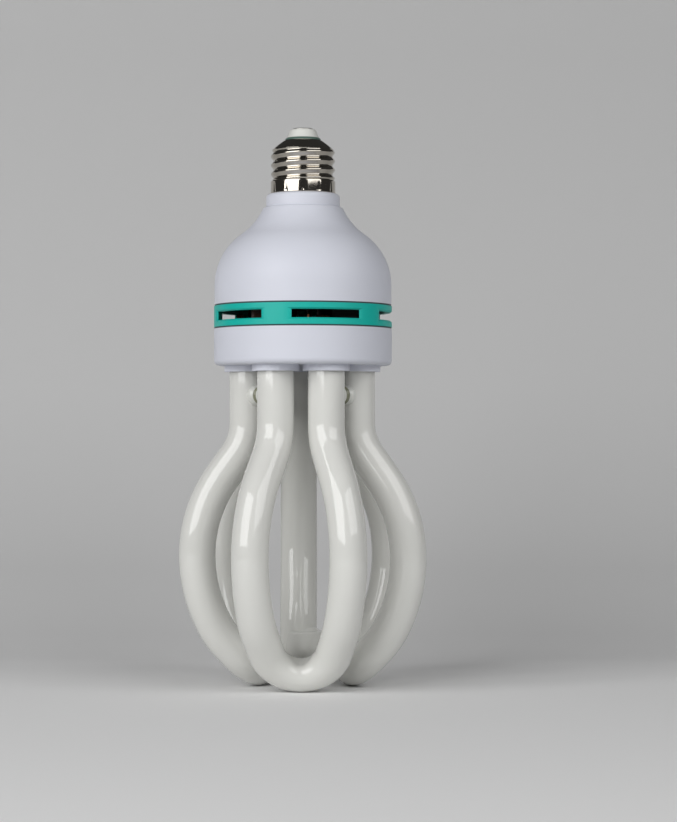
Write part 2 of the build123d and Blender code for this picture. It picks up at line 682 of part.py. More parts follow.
def transistors():
    pieces = []
    for at, holes in zip(TRANSISTOR_AT, TRANSISTOR_LEADS):
        foot = BOARD_TOP_Z + TRANSISTOR_STAND
        body = brick(TRANSISTOR_SIZE, (*at, foot))
        back = at[1] + (TRANSISTOR_SIZE[1] - TRANSISTOR_TAB[1]) / 2
        tab = brick(TRANSISTOR_TAB, (at[0], back, foot + TRANSISTOR_SIZE[2]))
        hole = Pos(at[0], back, foot + TRANSISTOR_SIZE[2] + TRANSISTOR_TAB[2] / 2) * Rot(90, 0, 0)
        tab -= hole * Cylinder(TRANSISTOR_TAB[2] / 4, 2 * TRANSISTOR_TAB[1])
        pieces.append(body + tab + leads(holes, foot))
    return pieces


def bent_lead_part(at, radius, length, holes):
    """Lying round body whose leads bend down through the board."""
    middle = BOARD_TOP_Z + radius
    body = Pos(*at, middle) * Rot(90, 0, 0) * Cylinder(radius, length)
    for hole in holes:
        reach = hole[1] - at[1]
        arm = Pos(at[0], at[1] + reach / 2, middle) * Rot(90, 0, 0) * Cylinder(LEAD_R, abs(reach))
        body += arm + Pos(*hole, middle) * Sphere(LEAD_R) + leads([hole], middle)
    return body


def rectifier_diodes():
    return [bent_lead_part(at, DIODE_R, DIODE_L, holes) for at, holes in zip(DIODE_PLACES, DIODE_LEADS)]


def input_fuse():
    """Upright fuse body with one lead below it and one looped down beside it."""
    near, far = FUSE_LEADS
    body = wheel(FUSE_R, FUSE_H, (*near, BOARD_TOP_Z))
    top = BOARD_TOP_Z + FUSE_H + FUSE_LEAD_PITCH / 2
    loop = FilletPolyline(
        (*near, BOARD_TOP_Z + FUSE_H), (*near, top), (*far, top), (*far, BOARD_FOOT_Z - LEAD_TAIL),
        radius=FUSE_LEAD_BEND)
    wire = sweep(Plane(loop @ 0, z_dir=loop % 0) * Circle(LEAD_R), path=loop)
    return body + wire + leads([near])


def thermistor():
    middle = BOARD_TOP_Z + DISC_R
    disc = Pos(*DISC_AT, middle) * Rot(0, 90, 0) * Cylinder(DISC_R, DISC_T)
    return disc + leads(DISC_LEADS, middle)


def tube_leads():
    """Two wires from each end leg of the arc path up to the board."""
    ends = [polar(LEG_CIRCLE_R, LEG_ANGLES[LEGS_ROUND // 2 + 1]), back_leg_places()[0]]
    height = BOARD_FOOT_Z - LEG_TOP_Z
    return [
        wheel(LEAD_R, height, (x, y, LEG_TOP_Z))
        for place in ends for x, y in lead_pair((place.X, place.Y), TUBE_LEAD_PITCH)]


def wire_along(*points, radius):
    path = FilletPolyline(*points, radius=radius)
    return sweep(Plane(path @ 0, z_dir=path % 0) * Circle(WIRE_R), path=path)


def live_lead():
    """Wire from the board up through the neck to the contact rivet."""
    rivet_foot = SHELL_TOP_Z + INSULATOR_H - CONTACT_SINK - RIVET_L
    return wire_along(
        (*LIVE_AT, BOARD_TOP_Z), (*LIVE_AT, BELL_SKIRT_Z), (0, 0, 0), (0, 0, rivet_foot), radius=LIVE_BEND)


def shell_inside(z):
    """How far the inside of the shell lies from the axis, towards +Y, at a height."""
    swing = radians(thread_swing(z))
    return THREAD_MEAN_R - SHELL_SHEET + THREAD_THROW * sin(swing)


def neutral_lead():
    """Wire from the board up the neck's bore and over its rim to the shell."""
    climb_y = NECK_BORE_R - 2 * WIRE_R
    top = NECK_H + 2 * WIRE_R
    reach = min(shell_inside(top + step) for step in (-WIRE_R, 0, WIRE_R)) - FIT_GAP / 2
    return wire_along(
        (*NEUTRAL_AT, BOARD_TOP_Z), (*NEUTRAL_AT, BELL_SKIRT_Z), (0, climb_y, BELL_TOP_Z),
        (0, climb_y, top), (0, reach, top), radius=WIRE_R)


PIECES = {
    "screw_shell": screw_shell(),
    "cap_insulator": cap_insulator(),
    "centre_contact": centre_contact(),
    "upper_housing": upper_housing(),
    "vent_ring": vent_ring(),
    "lower_housing": lower_housing(),
    "front_tube": petal(LEG_ANGLES[-1] - 360, LEG_ANGLES[0], foot=FRONT_FOOT),
    "right_tube": petal(LEG_ANGLES[1], LEG_ANGLES[2], lean_run=RIGHT_LEAN_RUN),
    "back_tube": back_u(),
    "left_tube": petal(LEG_ANGLES[4], LEG_ANGLES[5]),
    "front_right_bridge": bridge(LEG_ANGLES[0], LEG_ANGLES[1]),
    "back_right_bridge": bridge(LEG_ANGLES[2], LEG_ANGLES[3]),
    "front_left_bridge": bridge(LEG_ANGLES[5], LEG_ANGLES[6]),
    "tube_cement": tube_cement(),
    "circuit_board": circuit_board(),
    "bulk_capacitor": bulk_capacitor(),
    "choke_core": choke_core(),
    "choke_bobbin": choke_bobbin(),
    "choke_winding": choke_winding(),
    "filter_choke_core": filter_choke_core(),
    "filter_choke_winding": filter_choke_winding(),
    "drive_toroid_core": drive_toroid_core(),
    "drive_toroid_windings": drive_toroid_windings(),
    "film_capacitors": film_capacitors(),
    "transistors": transistors(),
    "rectifier_diodes": rectifier_diodes(),
    "input_fuse": input_fuse(),
    "thermistor": thermistor(),
    "tube_leads": tube_leads(),
    "live_lead": live_lead(),
    "neutral_lead": neutral_lead(),
}

os.makedirs("parts", exist_ok=True)
for name, piece in PIECES.items():
    items = piece if isinstance(piece, list) else [piece]
    solids = [solid for item in items for solid in item.solids()]
    export_step(Compound(children=solids), f"parts/{name}.step")
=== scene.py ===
from math import atan2, cos, degrees, pi, radians, sin

import bpy
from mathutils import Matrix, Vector


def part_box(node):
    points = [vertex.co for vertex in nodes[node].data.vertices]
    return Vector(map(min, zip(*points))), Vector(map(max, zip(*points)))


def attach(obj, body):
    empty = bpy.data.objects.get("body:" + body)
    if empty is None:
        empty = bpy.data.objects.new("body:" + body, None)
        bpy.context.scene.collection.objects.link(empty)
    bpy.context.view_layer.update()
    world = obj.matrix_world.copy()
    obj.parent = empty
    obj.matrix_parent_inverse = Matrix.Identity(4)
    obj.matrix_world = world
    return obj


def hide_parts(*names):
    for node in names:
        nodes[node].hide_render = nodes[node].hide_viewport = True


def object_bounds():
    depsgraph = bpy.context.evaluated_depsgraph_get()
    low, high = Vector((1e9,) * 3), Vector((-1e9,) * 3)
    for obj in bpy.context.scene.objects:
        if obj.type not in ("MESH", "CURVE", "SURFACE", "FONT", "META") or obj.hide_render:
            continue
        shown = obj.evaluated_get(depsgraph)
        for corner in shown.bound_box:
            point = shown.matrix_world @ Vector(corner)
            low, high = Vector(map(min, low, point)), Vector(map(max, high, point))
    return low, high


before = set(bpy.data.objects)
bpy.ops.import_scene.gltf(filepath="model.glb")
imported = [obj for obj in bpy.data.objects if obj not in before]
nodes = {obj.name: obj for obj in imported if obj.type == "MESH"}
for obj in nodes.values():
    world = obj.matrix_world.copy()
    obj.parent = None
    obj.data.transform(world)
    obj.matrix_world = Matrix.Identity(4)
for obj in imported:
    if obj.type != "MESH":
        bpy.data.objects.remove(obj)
cad_low, cad_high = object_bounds()
bpy.context.scene.view_settings.view_transform = "Standard"

# Screw shell: thin nickel-plated brass sheet, drawn into a cup and rolled with the round thread
# that a lamp holder takes. Its skirt is pinned to the housing neck by a row of punched dents.
MM = 0.001
MERGE = 0.001 * MM
SHELL_AROUND = 240
SHELL_SHEET = 0.35 * MM
SHELL_SOFT = 60
SKIRT_RADIUS = 13.2 * MM
SKIRT_HEIGHT = 5.4 * MM
DENTS = 12
DENT_HEIGHT = 0.95 * MM
DENT_SIZES = (0.75 * MM, 0.4 * MM, 0.1 * MM)
DENT_DEPTH = 0.07 * MM
SKIRT_STEPS = [
    (13.2, 0.4), (13.2, 0.65), (13.2, 0.95), (13.2, 1.25), (13.2, 1.5), (13.2, 4.6), (13.17, 4.95),
    (13.05, 5.2), (12.85, 5.36), (12.6, 5.4)]
THREAD_RADIUS = 12.6 * MM
THREAD_SWING = 0.5 * MM
THREAD_PITCH = 3.629 * MM
THREAD_TURNS = 3.45
THREAD_START = radians(-80)
THREAD_EASE = 0.35
STEPS_PER_TURN = 28
DOME_STEPS = [
    (12.55, 17.98), (12.4, 18.12), (11.84, 18.65), (11.04, 19.37), (10.22, 20.05), (9.37, 20.7),
    (8.5, 21.32), (7.8, 21.78), (7.62, 21.88), (7.5, 21.8)]


def start_ring(name, radius, height, around):
    """A ring of edges about the axis, selected and open in edit mode."""
    bpy.ops.object.select_all(action="DESELECT")
    bpy.ops.mesh.primitive_circle_add(vertices=around, radius=radius, location=(0, 0, height))
    piece = bpy.context.object
    piece.name = piece.data.name = name
    bpy.ops.object.transform_apply(location=True, rotation=False, scale=False)
    bpy.ops.object.mode_set(mode="EDIT")
    bpy.ops.mesh.select_all(action="SELECT")
    return piece


def draw_ring(step, grow=1.0):
    """Draws the selected ring on by a step, and opens or closes it about the axis."""
    bpy.ops.mesh.extrude_region_move(TRANSFORM_OT_translate={"value": step})
    if grow != 1.0:
        bpy.ops.transform.resize(value=(grow, grow, 1), center_override=(0, 0, 0))


def draw_profile(radius, height, profile):
    """Draws the ring through a list of radii and heights in millimetres."""
    for next_radius, next_height in profile:
        next_radius, next_height = next_radius * MM, next_height * MM
        draw_ring((0, 0, next_height - height), next_radius / radius)
        radius, height = next_radius, next_height


def pick(piece, kind, chosen):
    """Selects only the vertices, edges or faces that a test chooses, in edit mode."""
    bpy.ops.mesh.select_mode(type=kind)
    bpy.ops.mesh.select_all(action="DESELECT")
    bpy.ops.object.mode_set(mode="OBJECT")
    items = {"VERT": piece.data.vertices, "EDGE": piece.data.edges, "FACE": piece.data.polygons}
    for item in items[kind]:
        item.select = chosen(item)
    bpy.ops.object.mode_set(mode="EDIT")


def close_mesh(piece, soft_angle=40):
    """Ends the work on a mesh: joined doubles, faces turned outwards, and soft shading."""
    bpy.ops.mesh.select_all(action="SELECT")
    bpy.ops.mesh.remove_doubles(threshold=MERGE)
    bpy.ops.mesh.normals_make_consistent(inside=False)
    bpy.ops.object.mode_set(mode="OBJECT")
    bpy.ops.object.shade_smooth_by_angle(angle=radians(soft_angle))


def off_dent(point):
    """How far a point of the skirt is from the middle of the nearest dent."""
    turn = Vector((1, 0)).angle_signed(point.xy) * DENTS / (2 * pi)
    along = (turn - round(turn)) * 2 * pi / DENTS * SKIRT_RADIUS
    return Vector((along, point.z - DENT_HEIGHT)).length


shell = start_ring("screw_shell_rolled", SKIRT_RADIUS, 0, SHELL_AROUND)
draw_profile(SKIRT_RADIUS, 0, SKIRT_STEPS)
centre = Vector((0, 0, SKIRT_HEIGHT))
for k in range(1, round(THREAD_TURNS * STEPS_PER_TURN) + 1):
    turn = k / STEPS_PER_TURN
    ends = min(1.0, turn / THREAD_EASE, (THREAD_TURNS - turn) / THREAD_EASE)
    swing = THREAD_SWING * (0.5 - 0.5 * cos(pi * ends))
    around = THREAD_START + 2 * pi * turn
    target = Vector((swing * cos(around), swing * sin(around), SKIRT_HEIGHT + THREAD_PITCH * turn))
    draw_ring(target - centre)
    centre = target
draw_profile(THREAD_RADIUS, centre.z, DOME_STEPS)
pressed = 1 - DENT_DEPTH / SKIRT_RADIUS
for size in DENT_SIZES:
    pick(shell, "VERT", lambda vertex: off_dent(vertex.co) < size)
    bpy.ops.transform.resize(value=(pressed, pressed, 1), center_override=(0, 0, 0))
close_mesh(shell, SHELL_SOFT)
wall = shell.modifiers.new("sheet", "SOLIDIFY")
wall.thickness = SHELL_SHEET
wall.offset = -1
bpy.ops.object.modifier_apply(modifier=wall.name)

PATCH_DETAIL = 4
PATCH_RANGE = (0.3, 0.7)
GRAIN_DETAIL = 3
BARE_METAL = {"Metallic": 1}


def new_finish(name):
    """A new material, with its nodes and its shader."""
    finish = bpy.data.materials.new(name)
    finish.use_nodes = True
    return finish, finish.node_tree, finish.node_tree.nodes["Principled BSDF"]


def make_surface_group():
    """Patches of a second tone, uneven gloss and a fine grain, for any finish on the lamp."""
    group = bpy.data.node_groups.new("surface_variation", "ShaderNodeTree")
    sockets = [
        ("Tone", "INPUT", "NodeSocketColor"), ("Second Tone", "INPUT", "NodeSocketColor"),
        ("Patch Scale", "INPUT", "NodeSocketFloat"), ("Grain Scale", "INPUT", "NodeSocketFloat"),
        ("Gloss Low", "INPUT", "NodeSocketFloat"), ("Gloss High", "INPUT", "NodeSocketFloat"),
        ("Color", "OUTPUT", "NodeSocketColor"), ("Roughness", "OUTPUT", "NodeSocketFloat"),
        ("Grain", "OUTPUT", "NodeSocketFloat")]
    for name, way, kind in sockets:
        group.interface.new_socket(name, in_out=way, socket_type=kind)
    way_in = group.nodes.new("NodeGroupInput")
    way_out = group.nodes.new("NodeGroupOutput")
    place = group.nodes.new("ShaderNodeTexCoord")
    patches = group.nodes.new("ShaderNodeTexNoise")
    patches.inputs["Detail"].default_value = PATCH_DETAIL
    grain = group.nodes.new("ShaderNodeTexNoise")
    grain.inputs["Detail"].default_value = GRAIN_DETAIL
    tones = group.nodes.new("ShaderNodeMix")
    tones.data_type = "RGBA"
    gloss = group.nodes.new("ShaderNodeMapRange")
    gloss.inputs["From Min"].default_value = PATCH_RANGE[0]
    gloss.inputs["From Max"].default_value = PATCH_RANGE[1]
    link = group.links.new
    link(place.outputs["Object"], patches.inputs["Vector"])
    link(place.outputs["Object"], grain.inputs["Vector"])
    link(way_in.outputs["Patch Scale"], patches.inputs["Scale"])
    link(way_in.outputs["Grain Scale"], grain.inputs["Scale"])
    link(patches.outputs["Fac"], tones.inputs["Factor"])
    link(way_in.outputs["Tone"], tones.inputs["A"])
    link(way_in.outputs["Second Tone"], tones.inputs["B"])
    link(patches.outputs["Fac"], gloss.inputs["Value"])
    link(way_in.outputs["Gloss Low"], gloss.inputs["To Min"])
    link(way_in.outputs["Gloss High"], gloss.inputs["To Max"])
    link(tones.outputs["Result"], way_out.inputs["Color"])
    link(gloss.outputs["Result"], way_out.inputs["Roughness"])
    link(grain.outputs["Fac"], way_out.inputs["Grain"])
    return group


surface_group = make_surface_group()


def varied_finish(name, tone, second_tone, gloss, patch_scale, grain_scale, grain_depth, plain=None):
    """A material with colour, gloss and grain from the surface group, and plain values beside them."""
    finish, tree, shader = new_finish(name)
    for socket, value in (plain or {}).items():
        shader.inputs[socket].default_value = value
    surface = tree.nodes.new("ShaderNodeGroup")
    surface.node_tree = surface_group
    settings = {
        "Tone": (*tone, 1), "Second Tone": (*second_tone, 1), "Patch Scale": patch_scale,
        "Grain Scale": grain_scale, "Gloss Low": gloss[0], "Gloss High": gloss[1]}
    for socket, value in settings.items():
        surface.inputs[socket].default_value = value
    bump = tree.nodes.new("ShaderNodeBump")
    bump.inputs["Strength"].default_value = 1
    bump.inputs["Distance"].default_value = grain_depth
    tree.links.new(surface.outputs["Color"], shader.inputs["Base Color"])
    tree.links.new(surface.outputs["Roughness"], shader.inputs["Roughness"])
    tree.links.new(surface.outputs["Grain"], bump.inputs["Height"])
    tree.links.new(bump.outputs["Normal"], shader.inputs["Normal"])
    return finish


nickel = varied_finish(
    "bright_nickel", tone=(0.56, 0.53, 0.48), second_tone=(0.47, 0.43, 0.37), gloss=(0.05, 0.12),
    patch_scale=160, grain_scale=2200, grain_depth=0.003 * MM, plain=BARE_METAL)
shell.data.materials.append(nickel)
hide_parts("screw_shell")
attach(shell, "root")

# Tip insulator: a white moulded cone that carries the contact, standing in a ring of greenish
# glass that is poured into the mouth of the shell and locks it there.
TIP_AROUND = 96
TIP_SOFT = 35
TIP_PROFILE = [
    (7.45, 20.36), (7.45, 21.95), (7.2, 22.45), (6.75, 22.8), (6.62, 22.95), (6.45, 23.2), (5.62, 25.3),
    (5.4, 25.85), (5.1, 26.18), (4.7, 26.31), (4.35, 26.31), (4.35, 25.81), (1.45, 25.81), (1.45, 20.36),
    (7.45, 20.36)]
COLLAR_EDGE = (22.75 * MM, 22.95 * MM)
COLLAR_GREEN = (0.08, 0.14, 0.115, 1)


def turn_profile(name, profile, around):
    """Turns a piece about the axis through a list of radii and heights in millimetres."""
    radius, height = profile[0][0] * MM, profile[0][1] * MM
    piece = start_ring(name, radius, height, around)
    draw_profile(radius, height, profile[1:])
    return piece


def read_place(tree):
    """The sockets of a point's place in the lamp's frame."""
    place = tree.nodes.new("ShaderNodeTexCoord")
    axes = tree.nodes.new("ShaderNodeSeparateXYZ")
    tree.links.new(place.outputs["Object"], axes.inputs["Vector"])
    return axes.outputs


def band_colour(tree, distance, edge, tone, own_colour):
    """A tone where a distance is below its edge, and the finish's own colour beyond it."""
    beyond = tree.nodes.new("ShaderNodeMapRange")
    beyond.inputs["From Min"].default_value = edge[0]
    beyond.inputs["From Max"].default_value = edge[1]
    tones = tree.nodes.new("ShaderNodeMix")
    tones.data_type = "RGBA"
    tones.inputs["A"].default_value = tone
    tree.links.new(distance, beyond.inputs["Value"])
    tree.links.new(beyond.outputs["Result"], tones.inputs["Factor"])
    tree.links.new(own_colour, tones.inputs["B"])
    return tones.outputs["Result"]


tip = turn_profile("tip_insulator", TIP_PROFILE, TIP_AROUND)
close_mesh(tip, TIP_SOFT)
tip_finish = varied_finish(
    "tip_moulding", tone=(0.72, 0.73, 0.70), second_tone=(0.66, 0.66, 0.62), gloss=(0.3, 0.42),
    patch_scale=240, grain_scale=3000, grain_depth=0.01 * MM)
tree = tip_finish.node_tree
moulded = tree.nodes["Group"].outputs["Color"]
collared = band_colour(tree, read_place(tree)["Z"], COLLAR_EDGE, COLLAR_GREEN, moulded)
tree.links.new(collared, tree.nodes["Principled BSDF"].inputs["Base Color"])
tip.data.materials.append(tip_finish)
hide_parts("cap_insulator")
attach(tip, "root")


# Centre contact: a tinned brass rivet, set through the insulator and dulled by the dip. The wires
# that come out of the tubes are tinned in the same way.
def dress(finish, *names):
    """Gives a finish to CAD pieces that keep their own shape."""
    for name in names:
        nodes[name].material_slots[0].material = finish


tinned = varied_finish(
    "tinned_metal", tone=(0.60, 0.58, 0.54), second_tone=(0.46, 0.45, 0.42), gloss=(0.25, 0.45),
    patch_scale=420, grain_scale=1800, grain_depth=0.02 * MM, plain=BARE_METAL)
dress(tinned, "centre_contact", "tube_leads")

# Ballast housing: a bell and a cup of cool white moulded plastic with a soft satin face,
# snapped together over the vent ring.
SATIN = {"Specular IOR Level": 0.3}
# Heights of the two grooves beside the vent ring, and the edges and dark tone of the painted shade laid
# along them.
PARTINGS = (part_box("upper_housing")[0].z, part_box("lower_housing")[1].z)
GROOVE_SHADE_EDGE = (0.16 * MM, 0.42 * MM)
PAINTED_GROOVE_SHADE = (0.06, 0.085, 0.09, 1)


def make_groove_shade_group():
    """Painted shade: a dark line along the grooves where the vent ring meets the two halves of the
    housing, standing in for the shadow that falls in them.
    """
    group = bpy.data.node_groups.new("painted_groove_shade", "ShaderNodeTree")
    group.interface.new_socket("Color", in_out="INPUT", socket_type="NodeSocketColor")
    group.interface.new_socket("Color", in_out="OUTPUT", socket_type="NodeSocketColor")
    link = group.links.new
    height = read_place(group)["Z"]
    nearest = group.nodes.new("ShaderNodeMath")
    nearest.operation = "MINIMUM"
    for side, parting in enumerate(PARTINGS):
        drop = group.nodes.new("ShaderNodeMath")
        drop.operation = "SUBTRACT"
        drop.inputs[1].default_value = parting
        off = group.nodes.new("ShaderNodeMath")
        off.operation = "ABSOLUTE"
        link(height, drop.inputs[0])
        link(drop.outputs["Value"], off.inputs[0])
        link(off.outputs["Value"], nearest.inputs[side])
    own_colour = group.nodes.new("NodeGroupInput").outputs["Color"]
    groove_shaded = band_colour(group, nearest.outputs["Value"], GROOVE_SHADE_EDGE, PAINTED_GROOVE_SHADE, own_colour)
    link(groove_shaded, group.nodes.new("NodeGroupOutput").inputs["Color"])
    return group


groove_shade_group = make_groove_shade_group()


def paint_groove_shade(finish):
    """Lays the painted groove shade over a finish's own colour."""
    tree = finish.node_tree
    line = tree.nodes.new("ShaderNodeGroup")
    line.node_tree = groove_shade_group
    tree.links.new(tree.nodes["Group"].outputs["Color"], line.inputs["Color"])
    tree.links.new(line.outputs["Color"], tree.nodes["Principled BSDF"].inputs["Base Color"])


white_plastic = varied_finish(
    "white_moulding", tone=(0.65, 0.665, 0.735), second_tone=(0.625, 0.64, 0.71), gloss=(0.42, 0.52),
    patch_scale=60, grain_scale=2600, grain_depth=0.006 * MM, plain=SATIN)
# Painted shade darkens the grooves where the housing meets the vent ring.
paint_groove_shade(white_plastic)
dress(white_plastic, "upper_housing", "lower_housing")

# Vent ring: the same plastic in turquoise, moulded with six long bevelled slots that let the
# ballast's heat out. A lip on each side holds it inside the two halves of the housing.
RING_AROUND = 120
RING_SOFT = 30
RING_RADIUS = 36.2 * MM
RING_BORE = 33.2 * MM
RING_PROFILE = [
    (33.2, -7.6), (34.05, -7.6), (34.05, -4.6), (35.85, -4.6), (36.2, -4.25), (36.2, -2.3), (36.2, 2.3),
    (36.2, 4.25), (35.85, 4.6), (34.05, 4.6), (34.05, 7.6), (33.2, 7.6), (33.2, 1.7), (33.2, -1.7),
    (33.2, -7.6)]
SLOTS = [(-75, -24), (-9, 42), (57, 120), (135, 165), (177, 216), (231, 273)]
SLOT_REACH = 2 * MM
SLOT_BEVEL = 0.6 * MM
SLOT_FLARE = 3
SLOT_SCOOP = 1.6
WALL_NEAR = 0.1 * MM
UPRIGHT_NEAR = 0.01 * MM


def off_turn(point, turn):
    """Degrees from a turn about the axis, counted from the front, to a point."""
    return (degrees(atan2(point.x, -point.y)) - turn + 180) % 360 - 180


def pick_mouth(ring, radius, start, end):
    """Selects the faces of a slot's mouth in one wall, between two turns."""
    def in_mouth(face):
        on_wall = abs(face.center.xy.length - radius) < WALL_NEAR and abs(face.center.z) < SLOT_REACH / 2
        return on_wall and off_turn(face.center, start) % 360 < end - start

    pick(ring, "FACE", in_mouth)


def scoop_slot_end(ring, turn, scoop):
    """Draws the lip of a slot's end along the slot, which leaves a longer slope on the face there."""
    def on_lip(vertex):
        at_end = abs(off_turn(vertex.co, turn)) < SLOT_FLARE / 2 and abs(vertex.co.z) < SLOT_REACH
        return at_end and SLOT_BEVEL / 2 < RING_RADIUS - vertex.co.xy.length < 2 * SLOT_BEVEL

    pick(ring, "VERT", on_lip)
    bpy.ops.transform.rotate(value=radians(-scoop), orient_axis="Z", center_override=(0, 0, 0))


def wall_slot_end(ring, turn):
    """Walls one end of a slot, between the upright edges of its outer and inner mouths."""
    bpy.ops.mesh.select_mode(type="EDGE")
    bpy.ops.mesh.select_all(action="DESELECT")
    bpy.ops.mesh.select_non_manifold()
    bpy.ops.object.mode_set(mode="OBJECT")
    for edge in ring.data.edges:
        first, second = (ring.data.vertices[k].co for k in edge.vertices)
        upright = (first.xy - second.xy).length < UPRIGHT_NEAR
        edge.select = edge.select and upright and abs(off_turn(first, turn)) < 2 * SLOT_FLARE
    bpy.ops.object.mode_set(mode="EDIT")
    bpy.ops.mesh.edge_face_add()


def cap_rims():
    """Closes every open rim of the mesh in edit mode, and selects it all."""
    bpy.ops.mesh.select_all(action="SELECT")
    bpy.ops.mesh.fill_holes(sides=0)
    bpy.ops.mesh.select_all(action="SELECT")


ring = turn_profile("vent_ring_moulded", RING_PROFILE, RING_AROUND)
bpy.ops.mesh.select_all(action="SELECT")
bpy.ops.mesh.remove_doubles(threshold=MERGE)
bpy.ops.mesh.normals_make_consistent(inside=False)
for start, end in SLOTS:
    pick_mouth(ring, RING_RADIUS, start, end)
    bpy.ops.mesh.inset(thickness=SLOT_BEVEL, depth=-SLOT_BEVEL)
    bpy.ops.mesh.delete(type="FACE")
    pick_mouth(ring, RING_BORE, start - SLOT_FLARE, end + SLOT_FLARE)
    bpy.ops.mesh.delete(type="FACE")
    scoop_slot_end(ring, start, SLOT_SCOOP)
    scoop_slot_end(ring, end, -SLOT_SCOOP)
    wall_slot_end(ring, start)
    wall_slot_end(ring, end)
bpy.ops.mesh.select_mode(type="VERT")
cap_rims()
bpy.ops.transform.translate(value=(0, 0, sum(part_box("vent_ring"), Vector()).z / 2))
close_mesh(ring, RING_SOFT)
turquoise = varied_finish(
    "turquoise_moulding", tone=(0.010, 0.455, 0.385), second_tone=(0.008, 0.41, 0.35), gloss=(0.36, 0.46),
    patch_scale=70, grain_scale=2400, grain_depth=0.008 * MM, plain=SATIN)
# Painted shade darkens the grooves where the vent ring meets the housing.
paint_groove_shade(turquoise)
ring.data.materials.append(turquoise)
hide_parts("vent_ring")
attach(ring, "root")

# Glass tubes: clear tube drawn and bent hot, coated inside with white phosphor powder that
# lies a little unevenly, and sealed at the tops inside the cup.
GLASS_SKIN = {"Coat Weight": 1, "Coat Roughness": 0.035, "Coat IOR": 1.52, "Specular IOR Level": 0.05}
TUBE_RADIUS = 7.4 * MM
SOLE_NEAR = 0.2 * MM
PINCH_LEAN = radians(20)
PINCHES = [(1.8 * MM, 11 * MM), (1.2 * MM, 6 * MM)]
coated = varied_finish(
    "coated_glass", tone=(0.70, 0.70, 0.67), second_tone=(0.66, 0.66, 0.628), gloss=(0.5, 0.6),
    patch_scale=45, grain_scale=900, grain_depth=0.004 * MM, plain=GLASS_SKIN)
dress(coated, "back_tube")


def pinch_petal(node):
    """Copies a petal and draws in the upper side of its foot, as hot glass does in a tight bend."""
    bpy.ops.object.select_all(action="DESELECT")
    name = node.replace("tube", "petal")
    petal = bpy.data.objects.new(name, nodes[node].data.copy())
    petal.data.name = name
    bpy.context.scene.collection.objects.link(petal)
    petal.select_set(True)
    bpy.context.view_layer.objects.active = petal
    bpy.ops.mesh.customdata_custom_splitnormals_clear()
    bpy.ops.object.mode_set(mode="EDIT")
    bpy.ops.mesh.select_all(action="SELECT")
    bpy.ops.mesh.remove_doubles(threshold=MERGE)
    bpy.ops.mesh.select_mode(type="VERT")
    low = min(vertex.co.z for vertex in nodes[node].data.vertices)
    sole = [vertex.co for vertex in nodes[node].data.vertices if vertex.co.z < low + SOLE_NEAR]
    foot = sum(sole, Vector()) / len(sole)
    pinch = Vector((0, 0, cos(PINCH_LEAN))) + foot.xy.normalized().to_3d() * sin(PINCH_LEAN)
    crotch = Vector((foot.x, foot.y, low + TUBE_RADIUS)) + pinch * TUBE_RADIUS
    for depth, spread in PINCHES:
        bpy.ops.mesh.select_all(action="DESELECT")
        bpy.ops.object.mode_set(mode="OBJECT")
        min(petal.data.vertices, key=lambda vertex: (vertex.co - crotch).length).select = True
        bpy.ops.object.mode_set(mode="EDIT")
        bpy.ops.transform.translate(
            value=pinch * -depth, use_proportional_edit=True, proportional_edit_falloff="SMOOTH",
            proportional_size=spread)
        crotch -= pinch * depth
    close_mesh(petal)
    petal.data.materials.clear()
    petal.data.materials.append(coated)
    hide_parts(node)
    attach(petal, "root")


for node in ("front_tube", "left_tube", "right_tube"):
    pinch_petal(node)

# Cold nub: the blown, round-bottomed end of the back tube's inner leg, where mercury gathers.
# It goes over the solid's nub and has a flat top with a small round at its edge.
NUB_PLACE = (0.5 * MM, -6 * MM, -182.6 * MM)
NUB_AROUND = 64
NUB_RADIUS = 7.75
NUB_BOWL = [
    (NUB_RADIUS * sin(radians(turn)), -NUB_RADIUS * cos(radians(turn))) for turn in range(5, 90, 8)]
NUB_LIP = [
    (NUB_RADIUS, 0.6), (NUB_RADIUS, 4.7), (7.69, 5.05), (7.49, 5.34), (7.2, 5.53), (6.85, 5.6), (0.6, 5.6)]
nub = turn_profile("cold_nub", NUB_BOWL + NUB_LIP, NUB_AROUND)
cap_rims()
bpy.ops.transform.translate(value=NUB_PLACE)
close_mesh(nub)
nub.data.materials.append(coated)
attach(nub, "root")

# Bridges: necks blown out of neighbouring legs, coated like them and welded mouth to mouth with a
# bead of bare olive glass along the weld. The arc passes through them from leg to leg.
NECK_AROUND = 64
NECK_SOFT = 60
NECK_STEPS = [
    (3.95, 0.0), (3.9, 0.2), (3.75, 0.42), (3.6, 0.68), (3.56, 0.95), (3.65, 1.25), (3.86, 1.56),
    (4.12, 1.9), (4.3, 2.25), (4.39, 2.8), (4.42, 3.5), (4.42, 4.3)]
WELD_EDGE = (0.85 * MM, 1.1 * MM)
WELD_OLIVE = (0.19, 0.195, 0.13, 1)


def bridge_finish(name, across):
    """Coated glass with the bare weld as a band half-way along the bridge, which passes the axis."""
    finish = varied_finish(
        name, tone=(0.66, 0.665, 0.63), second_tone=(0.61, 0.615, 0.575), gloss=(0.5, 0.6),
        patch_scale=300, grain_scale=900, grain_depth=0.004 * MM, plain=GLASS_SKIN)
    tree = finish.node_tree
    place = tree.nodes.new("ShaderNodeTexCoord")
    along = tree.nodes.new("ShaderNodeVectorMath")
    along.operation = "DOT_PRODUCT"
    along.inputs[1].default_value = across
    off = tree.nodes.new("ShaderNodeMath")
    off.operation = "ABSOLUTE"
    tree.links.new(place.outputs["Object"], along.inputs[0])
    tree.links.new(along.outputs["Value"], off.inputs[0])
    glass = tree.nodes["Group"].outputs["Color"]
    welded = band_colour(tree, off.outputs["Value"], WELD_EDGE, WELD_OLIVE, glass)
    tree.links.new(welded, tree.nodes["Principled BSDF"].inputs["Base Color"])
    return finish


